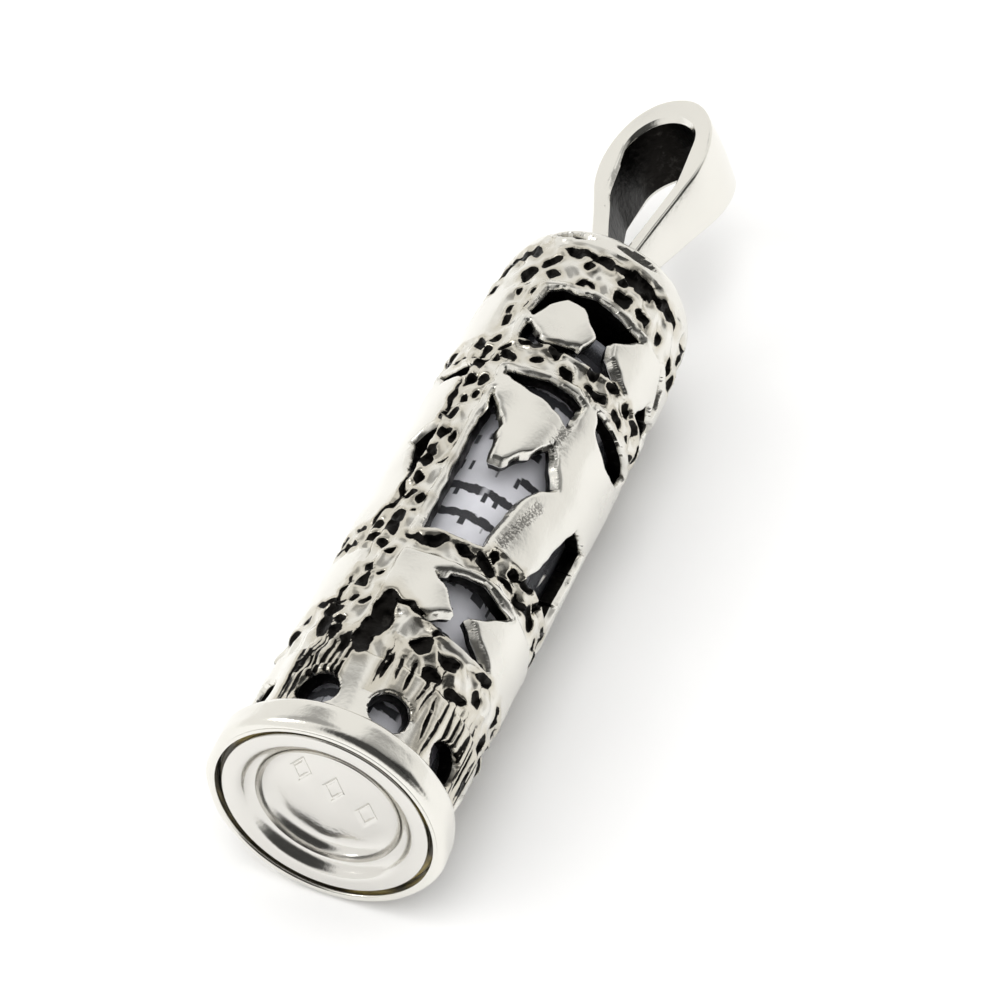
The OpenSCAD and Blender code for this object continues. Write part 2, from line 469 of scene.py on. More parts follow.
@dataclass(frozen=True)
class Silver:
    """Silver that is polished on its high parts and may be blackened in its recesses.

    Attributes:
        name: the material's name.
        metal: colour of the clean metal.
        tarnish: colour of the metal beside the blackened parts.
        oxide: colour of the black oxide.
        polish: roughness of the clean metal, low and high.
        grain: features a metre of the fine surface.
        grain_height: height of the fine surface in metres.
        wave_height: height of the slow undulation in metres.
        blackened: whether the mesh says where the oxide is.
    """

    name: str
    metal: tuple[float, float, float] = (0.80, 0.785, 0.735)
    tarnish: tuple[float, float, float] = (0.58, 0.54, 0.45)
    oxide: tuple[float, float, float] = (0.012, 0.011, 0.010)
    polish: tuple[float, float] = (0.16, 0.3)
    grain: float = 5200.0
    grain_height: float = 0.00001
    wave_height: float = 0.00004
    blackened: bool = True

    def build(self) -> bpy.types.Material:
        """Builds the node tree: clean metal, a darker fringe, and oxide where the mesh says so.

        Returns:
            The material.
        """
        n = Nodes(self.name)
        n.shader.inputs["Metallic"].default_value = 1.0
        fine = n.noise(self.grain, 3.0)
        slow = n.noise(620.0, 2.0)
        cloud = n.noise(260.0, 3.0)
        colour = n.blend(n.grade(cloud, 0.35, 0.75, 0.0, 0.45), (*self.metal, 1.0),
                         (*(0.93 * c for c in self.metal), 1.0))
        rough = n.grade(cloud, 0.3, 0.7, *self.polish)
        normal = n.bump(slow, self.wave_height, 0.6)
        normal = n.bump(fine, self.grain_height, 0.7, normal)
        if self.blackened:
            colour, rough, normal = self._oxidise(n, fine, colour, rough, normal)
        n.feed(n.shader.inputs["Base Color"], colour)
        n.feed(n.shader.inputs["Roughness"], rough)
        n.feed(n.shader.inputs["Normal"], normal)
        return n.material

    def _oxidise(self, n: Nodes, fine: object, colour: object, rough: object,
                 normal: object) -> tuple[object, object, object]:
        """Blackens the pits, the walls of the openings and the rough patches.

        Args:
            n: the material's nodes.
            fine: the fine noise.
            colour: the clean metal's colour.
            rough: the clean metal's roughness.
            normal: the clean metal's normal.

        Returns:
            The colour, the roughness and the normal with the oxide in them.
        """
        ragged = n.math("MULTIPLY", n.math("SUBTRACT", n.noise(6000.0, 2.0), 0.5), 0.05)
        pit = n.math("ADD", n.value("pit"), ragged)
        wall = n.math("ADD", n.value("wall"), n.math("MULTIPLY", ragged, 1.6))
        in_pit = n.grade(pit, 0.03, 0.006)
        on_wall = n.grade(wall, 0.27, 0.33)
        patch = n.value("rough")
        speckle = n.grade(n.math("MULTIPLY", patch, n.noise(11000.0, 2.0)), 0.33, 0.52, 0.0, 0.75)
        black = n.math("MAXIMUM", in_pit, on_wall, clamp=True)
        colour = n.blend(speckle, colour, (0.12, 0.115, 0.105, 1.0))
        fringe = n.math("MULTIPLY", n.grade(pit, 0.4, 0.0), 0.75)
        colour = n.blend(fringe, colour, (*self.tarnish, 1.0))
        streak = n.grade(n.noise(1500.0, 4.0, rough=0.7), 0.56, 0.72, 0.0, 0.5)
        soot = n.blend(streak, (*self.oxide, 1.0), (0.06, 0.057, 0.052, 1.0))
        colour = n.blend(black, colour, soot)
        rough = n.math("ADD", n.math("MULTIPLY", rough, n.math("SUBTRACT", 1.0, black)),
                       n.math("MULTIPLY", black, 0.42))
        coarse = n.bump(n.noise(3800.0, 3.0), 0.00005, 0.8, normal)
        share = n.math("MAXIMUM", black, patch)
        keep = n.add("Mix", data_type="VECTOR")
        n.feed(keep.inputs["Factor"], share)
        n.feed(keep.inputs[4], normal)
        n.feed(keep.inputs[5], coarse)
        return colour, rough, keep.outputs[1]


@dataclass(frozen=True)
class AmberSeal:
    """The sealing ring's amber compound.

    Attributes:
        name: the material's name.
        light: its lighter colour.
        dark: its darker colour, near black, which is painted shade of the gap the ring sits in.
    """

    name: str = "amber_seal"
    light: tuple[float, float, float] = (0.46, 0.36, 0.13)
    dark: tuple[float, float, float] = (0.05, 0.04, 0.02)

    def build(self) -> bpy.types.Material:
        """A mottled, slightly glossy amber, whose near-black patches are painted shade.

        Returns:
            The material.
        """
        n = Nodes(self.name)
        n.shader.inputs["Roughness"].default_value = 0.4
        n.shader.inputs["Coat Weight"].default_value = 0.3
        # painted shade: the noise spreads the near-black colour over the ring, darkening it as the gap
        # under the flange is shaded, beside the amber's own mottle
        mottle_and_shade = n.noise(420.0, 3.0)
        n.feed(n.shader.inputs["Base Color"],
               n.blend(n.grade(mottle_and_shade, 0.45, 0.62), (*self.dark, 1.0), (*self.light, 1.0)))
        n.feed(n.shader.inputs["Normal"], n.bump(n.noise(2600.0), 0.00003))
        return n.material


@dataclass(frozen=True)
class ClearLiner:
    """The liner tube's clear plastic, seen mostly by its gloss and by a painted grey sheen.

    Attributes:
        name: the material's name.
        clarity: opacity where the wall is seen square on.
    """

    name: str = "clear_liner"
    clarity: float = 0.02

    def build(self) -> bpy.types.Material:
        """A thin clear coat that is denser where it is seen edge on and at its lips; the grey that
        shows there is a painted sheen.

        Returns:
            The material.
        """
        n = Nodes(self.name)
        n.shader.inputs["Base Color"].default_value = (0.4, 0.41, 0.45, 1.0)
        n.shader.inputs["Roughness"].default_value = 0.06
        n.shader.inputs["Specular IOR Level"].default_value = 0.6
        # painted sheen: the grey, more opaque veil where the wall is seen edge on and at the lips
        # stands in for the plastic's reflection
        edge = n.add("LayerWeight", {"Blend": 0.25}).outputs["Facing"]
        painted_edge_sheen = n.math("MULTIPLY", n.math("MULTIPLY", edge, edge), 0.6)
        lip = n.math("MULTIPLY", n.value("lip"), 0.45)
        n.feed(n.shader.inputs["Alpha"], n.math("ADD", n.math("ADD", painted_edge_sheen, lip), self.clarity))
        n.feed(n.shader.inputs["Normal"], n.bump(n.noise(420.0, 1.0), 0.00004, 0.5))
        n.material.blend_method = "BLEND"
        return n.material


@dataclass(frozen=True)
class Parchment:
    """Parchment with rows of plain abstract ink strokes that are no letters.

    Attributes:
        name: the material's name.
        skin: colour of the bare skin.
        ink: colour of the ink.
        row: spacing of the rows in millimetres.
        stroke: half the width of a stroke as a share of the spacing.
    """

    name: str = "parchment"
    skin: tuple[float, float, float] = (0.88, 0.88, 0.93)
    ink: tuple[float, float, float] = (0.016, 0.015, 0.018)
    row: float = 1.5
    stroke: float = 0.15

    def build(self) -> bpy.types.Material:
        """Ink in rows of dashes and drops of random length, on mottled skin.

        Returns:
            The material.
        """
        n = Nodes(self.name)
        n.shader.inputs["Roughness"].default_value = 0.6
        split = n.add("SeparateXYZ", {"Vector": n.add("UVMap", uv_map="roll").outputs[0]})
        along, up = split.outputs[0], split.outputs[1]
        line = n.math("DIVIDE", up, self.row)
        number = n.math("FLOOR", line)
        signed = n.math("SUBTRACT", n.math("SUBTRACT", line, number), 0.5)
        offset = n.math("ABSOLUTE", signed)
        dash_at = n.add("CombineXYZ", {0: n.math("MULTIPLY", along, 0.62),
                                       1: n.math("MULTIPLY", number, 7.3)}).outputs[0]
        dash = n.add("TexNoise", {"Vector": dash_at, "Scale": 1.0, "Detail": 0.0}).outputs["Fac"]
        wobble = n.add("TexNoise", {"Vector": n.add("CombineXYZ", {0: along, 1: up}).outputs[0],
                                    "Scale": 2.3, "Detail": 2.0}).outputs["Fac"]
        reach = n.math("ADD", self.stroke, n.math("MULTIPLY", n.math("SUBTRACT", wobble, 0.5), 0.28))
        bar = n.grade(n.math("SUBTRACT", offset, reach), 0.02, -0.02)
        bar = n.math("MULTIPLY", bar, n.grade(dash, 0.41, 0.45))
        drop_at = n.add("CombineXYZ", {0: n.math("MULTIPLY", along, 2.4),
                                       1: n.math("MULTIPLY", number, 3.1)}).outputs[0]
        drop = n.add("TexNoise", {"Vector": drop_at, "Scale": 1.0, "Detail": 0.0}).outputs["Fac"]
        below = n.math("MULTIPLY", n.grade(signed, 0.02, -0.02), n.grade(offset, 0.38, 0.34))
        hang = n.math("MULTIPLY", n.grade(drop, 0.56, 0.60), below)
        ink = n.math("MAXIMUM", bar, hang, clamp=True)
        skin = n.blend(n.grade(n.noise(700.0, 4.0), 0.3, 0.7), (*self.skin, 1.0),
                       (*(0.86 * c for c in self.skin), 1.0))
        n.feed(n.shader.inputs["Base Color"], n.blend(ink, skin, (*self.ink, 1.0)))
        n.feed(n.shader.inputs["Normal"], n.bump(n.noise(2500.0, 3.0), 0.00002, 0.5))
        return n.material


def dress(obj: bpy.types.Object, material: bpy.types.Material, slot: Slot, body: Body,
          *nodes: str) -> bpy.types.Object:
    """Gives a finished piece its material and its body, and hides the CAD nodes it stands for.

    Args:
        obj: the piece.
        material: its material.
        slot: the record's slot; not used.
        body: the body it rides on.
        nodes: the CAD nodes it replaces.

    Returns:
        The same piece.
    """
    obj.data.materials.append(material)
    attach(obj, body.value)
    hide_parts(*nodes)
    LOG.info("%s: %d triangles on %s", obj.name, len(obj.data.polygons), body.value)
    return obj


# ---------------------------------------------------------------- the pierced silver case


@dataclass(frozen=True)
class PitRow:
    """A row of pits from one place on the panel to another.

    Attributes:
        start: azimuth in degrees from the pitted column, and height in millimetres.
        end: the same for the last pit.
        count: number of pits.
        size: half width and half height of a pit in millimetres.
        jitter: random share of the spacing and of the size.
        keep: share of the pits that is really there.
        lean: greatest tilt of a pit in radians.
    """

    start: Point
    end: Point
    count: int
    size: Point
    jitter: float = 0.25
    keep: float = 1.0
    lean: float = 0.5

    def pits(self, rng: np.random.Generator, turn: float) -> Array:
        """Draws the pits.

        Args:
            rng: the random generator.
            turn: degrees by which the panel is turned.

        Returns:
            Rows of azimuth, height, half width, half height and tilt in radians.
        """
        t = np.linspace(0.0, 1.0, self.count)
        gap = np.subtract(self.end, self.start) / max(self.count - 1, 1)
        place = np.asarray(self.start) + t[:, None] * np.subtract(self.end, self.start)
        reach = np.maximum(np.abs(gap), (4.0, 0.3))
        place = place + rng.uniform(-1, 1, (self.count, 2)) * reach * self.jitter
        size = np.asarray(self.size) * (1.0 + rng.uniform(-1, 1, (self.count, 2)) * self.jitter * 1.3)
        tilt = rng.uniform(-self.lean, self.lean, self.count)
        there = rng.uniform(0, 1, self.count) <= self.keep
        return np.column_stack([place[:, 0] + turn, place[:, 1], size, tilt])[there]


@dataclass
class Case:
    """The shape that the sleeve and the crown share: a round tube that ends in a dome.

    A place on it is an azimuth in degrees from the pitted column at -X, round the front, and a
    height, which above the crown's joint is counted along the dome's own curve.

    Attributes:
        wall: thickness of the wall.
        seat: radius of the flat top that the bail stands on.
        dome_start: height at which the dome starts to curve in.
        dome_power: power of the dome's superellipse.
        windows: outlines of the openings on one half turn, as azimuth and height.
        hole_radius: radius of the round holes above the collar.
        hole_height: height of their centres.
        hole_count: number of round holes.
        first_hole: azimuth of the first.
        crown_slots: azimuths of the leaf slots on the crown.
        crown_slot_height: height of the slots, along the dome's curve.
        crown_slot_size: half length and half width of a slot.
        rows: rows of pits on one half turn.
        lone_pits: larger recesses and fine cuts on one half turn.
        bands: lowest and highest height of each pitted band.
        valleys: start, end and depth of the hollows with a grainy floor.
        pit_depth: depth of a pit.
        ground: depth of the pitted parts under the smooth ones.
    """

    wall: float = 0.78
    seat: float = 2.8
    dome_start: float = 19.4
    dome_power: float = 5.2
    windows: tuple[tuple[Point, ...], ...] = (
        ((12, 26.45), (40, 26.6), (75, 26.3), (59, 25.0), (61, 24.3), (79, 23.45), (60, 23.2),
         (36, 23.1), (10.5, 23.1), (9.5, 24.3), (12, 24.3), (22, 23.5), (30, 23.4), (45, 23.75),
         (50, 24.7), (43, 25.3), (37, 25.8), (26.6, 26.05), (17, 25.5), (12, 24.75),
         (8.6, 24.9)),
        ((13, 21.25), (54, 21.45), (61, 21.2), (62.5, 20.8), (59, 19.9), (50, 20.1), (30, 20.5),
         (14, 20.95)),
        ((13.5, 20.0), (20, 19.1), (26.5, 18.2), (27.5, 17.2), (29, 16.3), (36, 16.4), (43, 17.0),
         (50, 17.8), (56.5, 18.6), (60, 18.1), (64, 17.5), (70.5, 16.85), (64, 16.3), (58, 15.7),
         (53, 14.4), (51, 13.2), (49, 11.95), (15, 11.75), (14, 14.0), (13, 17.0)),
        ((69, 21.55), (119, 21.6), (117, 21.0), (112, 20.5), (103, 20.1), (92, 19.95), (83, 20.2),
         (76, 20.7)),
        ((96, 16.5), (119, 16.75), (116, 14.5), (114, 12.2), (79, 12.35), (84, 13.2), (88, 14.4),
         (92, 15.6)),
        ((155, 17.3), (163, 17.7), (172, 18.0), (172.5, 16.5), (173, 14.6), (163, 15.9)),
        ((144, 21.65), (172, 21.65), (172, 20.85), (161, 21.05), (150, 21.1)),
        ((34, 9.8), (41, 10.15), (60, 10.4), (83, 10.25), (72, 9.4), (60, 8.65), (70, 8.1),
         (85, 7.45), (70, 7.15), (50, 7.2), (38, 7.6), (46, 8.0), (52.5, 8.4), (44, 9.1)),
        ((97, 26.4), (109, 26.2), (114, 25.4), (112, 24.8), (108, 24.9), (104, 25.7)),
        ((94, 23.4), (103, 24.8), (112, 24.6), (125, 25.1), (138, 25.7), (130, 24.2),
         (119, 23.35)),
    )
    hole_radius: float = 0.9
    hole_height: float = 2.6
    hole_count: int = 9
    first_hole: float = 46.8
    crown_slots: tuple[float, ...] = (9.0, 49.0, 189.0, 229.0)
    crown_slot_height: float = 30.15
    crown_slot_size: Point = (0.95, 0.24)
    rows: tuple[PitRow, ...] = (
        # the column, in two lines
        PitRow((-1.0, 5.6), (-4.0, 26.3), 22, (0.24, 0.31), 0.25, 1.0),
        PitRow((6.8, 6.0), (4.2, 26.0), 19, (0.16, 0.2), 0.35, 0.85),
        # upper band
        PitRow((20, 22.95), (166, 22.95), 10, (0.37, 0.26), 0.28),
        PitRow((13, 22.15), (170, 22.15), 12, (0.33, 0.24), 0.28),
        # middle band
        PitRow((58, 11.95), (166, 11.95), 9, (0.34, 0.21), 0.3),
        PitRow((14, 11.2), (168, 11.2), 12, (0.43, 0.25), 0.3),
        # lower band
        PitRow((14, 6.95), (168, 6.95), 9, (0.36, 0.24), 0.35, 0.85),
        PitRow((22, 6.1), (166, 6.1), 8, (0.5, 0.4), 0.35, 0.9),
        PitRow((14, 5.25), (168, 5.25), 9, (0.34, 0.36), 0.4, 0.8),
        # the crown's row of pits and its splashes
        PitRow((14, 27.25), (170, 27.25), 10, (0.33, 0.29), 0.28, 0.95),
        PitRow((4, 28.3), (176, 28.3), 9, (0.36, 0.2), 0.4, 0.85),
        PitRow((12, 29.0), (170, 29.0), 7, (0.75, 0.27), 0.35, 0.95),
        # upright scratches on the base
        PitRow((-13, 3.5), (13, 3.6), 8, (0.075, 1.4), 0.16, 1.0, 0.06),
        PitRow((66, 3.4), (112, 3.4), 12, (0.07, 1.3), 0.25, 0.9, 0.08),
        PitRow((30, 4.6), (62, 4.6), 6, (0.065, 0.8), 0.35, 0.9, 0.12),
    )
    lone_pits: tuple[tuple[float, ...], ...] = (
        # azimuth, height, half width, half height, tilt
        (20.0, 6.9, 0.42, 1.12, 0.12), (16.5, 5.4, 0.34, 0.75, 0.3),
        (30.0, 7.65, 1.05, 0.17, -0.34), (-8.6, 14.0, 0.09, 0.95, 0.0),
        (-9.4, 19.3, 0.09, 1.1, 0.04), (-12.1, 12.75, 0.7, 0.12, 1.09),
        (-13.0, 7.4, 0.7, 0.14, 0.05), (-9.5, 8.0, 0.09, 0.7, 0.0),
        (30.0, 28.85, 0.9, 0.22, -0.25), (54.0, 28.75, 0.95, 0.33, -0.15),
        (-22.0, 28.9, 0.9, 0.16, 0.5), (-30.0, 28.3, 0.7, 0.14, 0.5),
    )
    bands: tuple[Point, ...] = ((4.75, 7.2), (10.5, 12.2), (21.45, 23.3), (26.55, 29.5))
    valleys: tuple[tuple[Point, Point, float], ...] = (
        ((58.5, 20.0), (56.5, 18.5), 0.10),
        ((65.0, 15.3), (56.0, 12.6), 0.02),
    )

    pit_depth: float = 0.17
    ground: float = 0.10

    def __post_init__(self) -> None:
        """Reads the driving sizes from the frame and works out the profile and the pits."""
        low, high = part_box("case_sleeve")
        _, crown_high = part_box("crown_cap")
        self.radius = high.x / MM
        self.foot = low.z / MM
        self.joint = high.z / MM
        self.top = crown_high.z / MM
        self.degree = self.radius * math.radians(1.0)
        self._profile()
        rng = np.random.default_rng(18)
        drawn = [row.pits(rng, turn) for turn in (0.0, 180.0) for row in self.rows]
        alone = [np.add(p, (turn, 0, 0, 0, 0)) for turn in (0.0, 180.0) for p in self.lone_pits]
        self.pits = np.concatenate([*drawn, np.array(alone)])

    def _profile(self) -> None:
        """The profile as arrays against height: straight, then a superellipse, then a flat seat."""
        share = 1.0 - (1.0 - np.linspace(0.0, 1.0, 400)) ** 2
        z = self.joint + (self.top - self.joint) * share
        reach = np.clip((z - self.dome_start) / (self.top - self.dome_start), 0.0, 1.0)
        r = self.seat + (self.radius - self.seat) * (1.0 - reach ** self.dome_power) ** (
            1.0 / self.dome_power)
        flat = np.linspace(self.seat, 0.0, 60)[1:]
        r = np.concatenate([[self.radius], r, flat])
        z = np.concatenate([[0.0], z, np.full(flat.shape, self.top)])
        step = np.hypot(np.diff(r), np.diff(z))
        self.line_s = np.concatenate([[0.0], np.cumsum(step)])
        self.line_r, self.line_z = r, z
        slope_r, slope_z = np.gradient(r, self.line_s), np.gradient(z, self.line_s)
        size = np.hypot(slope_r, slope_z)
        self.normal_r, self.normal_z = slope_z / size, -slope_r / size
        self.end = float(self.line_s[-1])

    def at(self, angle: Array, s: Array, lift: Array) -> Array:
        """Points at an azimuth and a height along the profile, lifted along the normal.

        Args:
            angle: azimuths in degrees.
            s: heights along the profile in millimetres.
            lift: distance outwards along the normal in millimetres.

        Returns:
            The points in millimetres.
        """
        r, z, nr, nz = (np.interp(s, self.line_s, line) for line in
                        (self.line_r, self.line_z, self.normal_r, self.normal_z))
        return around(np.maximum(r + lift * nr, 0.0), z + lift * nz, angle - 180.0)

    def openings(self, angle: Array, s: Array) -> Array:
        """Signed distance to the nearest opening in millimetres, negative in the opening.

        Args:
            angle: azimuths in degrees.
            s: heights along the profile in millimetres.

        Returns:
            The distances, of the same shape as s.
        """
        body = around(np.full(s.shape, self.radius), s, angle)
        warp = 0.035 * soft_noise(body, 0.9, 5)
        panel = np.mod(angle, 180.0)
        x, y = panel * self.degree + warp, s + 0.035 * soft_noise(body, 0.9, 6)
        nearest = np.full(s.shape, FAR)
        for window in self.windows:
            outline = np.array(window) * (self.degree, 1.0)
            for turn in (0.0, 180.0 * self.degree, -180.0 * self.degree):
                if abs(np.mean(outline[:, 0]) + turn - 90.0 * self.degree) < 150.0 * self.degree:
                    nearest = np.minimum(nearest, outline_distance(x - turn, y, outline))
        hole = np.mod(angle - self.first_hole + 20.0, 360.0 / self.hole_count) - 20.0
        around_hole = self.radius * np.sin(np.radians(hole))
        nearest = np.minimum(nearest, np.hypot(around_hole, s - self.hole_height) - self.hole_radius)
        local = np.interp(s, self.line_s, self.line_r) * math.radians(1.0)
        half, narrow = self.crown_slot_size
        for centre in self.crown_slots:
            off = np.abs((np.mod(angle - centre + 180.0, 360.0) - 180.0) * local)
            leaf = np.abs(s - self.crown_slot_height) - narrow * (1.0 - (off / half) ** 2)
            nearest = np.minimum(nearest, np.where(off < 1.3 * half, leaf, FAR))
        return nearest

    def pit_distance(self, angle: Array, s: Array) -> Array:
        """Signed distance to the nearest pit: a warped superellipse for each, negative inside.

        Args:
            angle: azimuths in degrees.
            s: heights along the profile in millimetres.

        Returns:
            The distances in millimetres, of the same shape as s.
        """
        body = around(np.full(s.shape, self.radius), s, angle)
        warp = 0.06 * (0.2 + 0.8 * ramp(s, 4.4, 5.4))
        x = angle * self.degree + warp * soft_noise(body, 0.7, 7)
        y = s + warp * soft_noise(body, 0.7, 8)
        nearest = np.full(s.shape, FAR)
        whole = 360.0 * self.degree
        for u, v, wide, high, tilt in self.pits:
            dx = np.mod(x - u * self.degree + whole / 2, whole) - whole / 2
            dy = y - v
            close = (np.abs(dx) < wide + 0.8) & (np.abs(dy) < high + wide + 0.8)
            cx, cy = dx[close], dy[close]
            a = (cx * math.cos(tilt) + cy * math.sin(tilt)) / wide
            b = (cy * math.cos(tilt) - cx * math.sin(tilt)) / high
            far = (np.abs(a) ** 2.5 + np.abs(b) ** 2.5) ** 0.4
            nearest[close] = np.minimum(nearest[close], (far - 1.0) * min(wide, high))
        return nearest

    def pitted(self, angle: Array, s: Array, grow: float = 0.0) -> Array:
        """1 on the pitted column and bands, grown by so many millimetres, 0 on the smooth leaves.

        Args:
            angle: azimuths in degrees.
            s: heights along the profile in millimetres.
            grow: millimetres by which the pitted parts are grown.

        Returns:
            The mask, of the same shape as s.
        """
        panel = np.mod(angle + 90.0, 180.0) - 90.0
        off = np.abs(panel - np.interp(s, (4.0, 27.0), (2.0, -0.5))) * self.degree
        mask = ramp(off, 0.92 + grow, 0.76 + grow)
        for low, high in self.bands:
            rise = ramp(s, low - 0.1 - grow, low + 0.1 - grow)
            mask = np.maximum(mask, rise * ramp(s, high + 0.1 + grow, high - 0.1 + grow))
        return mask

    def relief(self, angle: Array, s: Array) -> dict[str, Array]:
        """Everything that the surface carries at a place.

        Args:
            angle: azimuths in degrees.
            s: heights along the profile in millimetres.

        Returns:
            lift, the height against the plain case; opening and pit, signed distances; soft, 1 on
            smooth parts; rough, 1 where the metal is left grainy.
        """
        opening, pit = self.openings(angle, s), self.pit_distance(angle, s)
        pitted = self.pitted(angle, s)
        body = around(np.full(s.shape, self.radius), s, angle)
        base = ramp(s, 4.9, 4.5)
        rim = ramp(opening, 0.46, 0.26)
        lift = -self.ground * pitted * (1.0 - rim) + 0.03 * rim * pitted
        lift += 0.05 * pitted * (1.0 - rim) * soft_noise(body, 1.0, 11)
        lift += 0.012 * (1.0 - pitted) * soft_noise(body, 1.9, 12)
        lift += 0.035 * base * soft_noise(body * (1.0, 1.0, 0.1), 1.1, 13)
        edge = 0.11 + 0.12 * (1.0 - pitted) * (1.0 - base)
        share = np.clip(opening / edge, 0.0, 1.0)
        lift -= 0.75 * edge * (1.0 - np.sqrt(1.0 - (1.0 - share) ** 2))
        lift += 0.025 * np.exp(-((pit - 0.09) / 0.09) ** 2) * ramp(opening, 0.1, 0.3)
        lift -= self.pit_depth * ramp(-pit, -0.04, 0.14)
        rough = np.zeros(s.shape)
        panel = np.mod(angle, 180.0) * self.degree
        for start, end, depth in self.valleys:
            off = segment_distance(panel, s, (start[0] * self.degree, start[1]),
                                   (end[0] * self.degree, end[1]))
            lift -= depth * np.exp(-((off / 0.35) ** 2))
            rough = np.maximum(rough, np.exp(-((off / 0.42) ** 2)))
        return {"lift": np.clip(lift, -0.5, 0.08), "opening": opening, "pit": pit,
                "soft": (1.0 - self.pitted(angle, s, 0.4)) * (1.0 - base), "rough": rough}

    def snapped(self, angle: Array, s: Array, cell: float) -> tuple[Array, Array, Array, Array]:
        """Moves grid points that are near the edge of an opening or a pit onto it.

        Args:
            angle: azimuths of a regular grid, shape (rows, columns).
            s: heights of the grid.
            cell: size of a cell in millimetres.

        Returns:
            The moved azimuths and heights, which points lie on an opening's edge, and the
            distance to the opening before the move.
        """
        opening, pit = self.openings(angle, s), self.pit_distance(angle, s)
        moved_x, moved_y = angle * self.degree, s.copy()
        on_edge = np.abs(opening) < 0.56 * cell
        on_edge[0, :] = on_edge[-1, :] = False
        for distance, near in ((opening, on_edge), (pit, (np.abs(pit) < 0.5 * cell) & ~on_edge)):
            gy, gx = np.gradient(distance)
            gx /= (angle[0, 1] - angle[0, 0]) * self.degree
            gy /= s[1, 0] - s[0, 0]
            size = np.maximum(gx * gx + gy * gy, 0.2)
            near = near.copy()
            near[0, :] = near[-1, :] = False
            moved_x = np.where(near, moved_x - distance * gx / size, moved_x)
            moved_y = np.where(near, moved_y - distance * gy / size, moved_y)
        return moved_x / self.degree, moved_y, on_edge, opening

    def shell(self, angles: Array, heights: Array, closed_ring: bool, pole: bool) -> Surface:
        """A stretch of the pierced wall, closed all over.

        Args:
            angles: azimuths of the grid's columns.
            heights: heights of the grid's rows.
            closed_ring: whether the last column meets the first.
            pole: whether the last row is one point on the axis.

        Returns:
            The outer face with its relief, the inner face, and walls round every opening. A wall
            goes down from the edge to a ledge a little further into the opening, then in.
        """
        cell = float(heights[1] - heights[0])
        angle, s = np.meshgrid(angles, heights)
        moved, high, on_edge, before = self.snapped(angle, s, cell)
        if not closed_ring:
            moved[:, 0], moved[:, -1] = angles[0], angles[-1]
            on_edge[:, 0] = on_edge[:, -1] = False
        carried = self.relief(moved, high)
        rows, columns = angle.shape
        tri = grid_triangles(rows, columns, False, closed_ring)
        level = np.where(on_edge, 0.0, np.where(before > 0.0, 1.0, -1.0)).ravel()
        tri = self._better_diagonals(tri, level)
        if pole:
            tri = np.where(tri >= (rows - 1) * columns, (rows - 1) * columns, tri)
            tri = tri[(tri[:, 0] != tri[:, 1]) & (tri[:, 1] != tri[:, 2]) & (tri[:, 0] != tri[:, 2])]
        total = level[tri].sum(axis=1) + 1e-3 * np.sign(before.ravel()[tri].sum(axis=1))
        tri = tri[total > 0.0]
        edges = np.concatenate([tri[:, [0, 1]], tri[:, [1, 2]], tri[:, [2, 0]]])
        key = np.sort(edges, axis=1) @ (rows * columns, 1)
        _, first, count = np.unique(key, return_index=True, return_counts=True)
        rim = edges[first[count == 1]]
        lift, soft = carried["lift"].ravel(), carried["soft"].ravel()
        flat_angle, flat_s = moved.ravel(), high.ravel()
        gy, gx = np.gradient(before)
        steep = np.maximum(np.hypot(gx, gy), 1e-6)
        soft = soft * (ramp((0.4 * gx + 0.9 * gy) / steep, -0.1, 0.4)
                       * ramp(np.mod(angle, 180.0), 98.0, 88.0)).ravel()
        into = np.where(on_edge, 1.0, 0.0).ravel()
        # the ledge lies 0.30 to 0.36 mm down and 0.03 to 0.13 mm into the opening
        reach = (0.03 + 0.10 * soft) * into
        ledge_angle = flat_angle - (gx / steep).ravel() * reach / self.degree
        ledge_s = flat_s - (gy / steep).ravel() * reach
        outer = self.at(flat_angle, flat_s, lift)
        ledge = self.at(ledge_angle, ledge_s, np.minimum(lift - 0.1, -0.30 - 0.06 * soft))
        inner = self.at(flat_angle, flat_s, np.full(lift.shape, -self.wall))
        size = rows * columns
        a, b = rim[:, 0], rim[:, 1]
        walls = [np.stack([b + i * size, a + i * size, a + (i + 1) * size], 1) for i in (0, 1)]
        walls += [np.stack([b + i * size, a + (i + 1) * size, b + (i + 1) * size], 1) for i in (0, 1)]
        every = np.concatenate([tri, tri[:, ::-1] + 2 * size, *walls])
        pit = carried["pit"].ravel()
        deep = 0.34 - 0.16 * soft
        values = {
            "pit": np.concatenate([np.clip(pit, -1, 1), np.ones(size), np.ones(size)]),
            "wall": np.concatenate([np.zeros(size), deep + 0.12 * (1 - soft), np.ones(size)]),
            "rough": np.concatenate([carried["rough"].ravel(), np.zeros(2 * size)]),
        }
        points = np.concatenate([outer, ledge, inner])
        used = np.unique(every)
        back = np.full(len(points), -1)
        back[used] = np.arange(len(used))
        return Surface(points[used], back[every], {k: v[used] for k, v in values.items()})

    @staticmethod
    def _better_diagonals(tri: Array, level: Array) -> Array:
        """Turns a cell's diagonal where the edge of an opening runs across it.

        Args:
            tri: the grid's triangles, in the order of grid_triangles.
            level: 0 at points on an edge, 1 on metal and -1 in an opening.

        Returns:
            The triangles, with the turned cells changed.
        """
        half = len(tri) // 2
        a, b, e, d = tri[:half, 0], tri[:half, 1], tri[:half, 2], tri[half:, 2]
        turn = (level[b] == 0) & (level[d] == 0) & ((level[a] != 0) | (level[e] != 0))
        first = np.where(turn[:, None], np.stack([a, b, d], 1), np.stack([a, b, e], 1))
        second = np.where(turn[:, None], np.stack([b, e, d], 1), np.stack([a, e, d], 1))
        return np.concatenate([first, second])

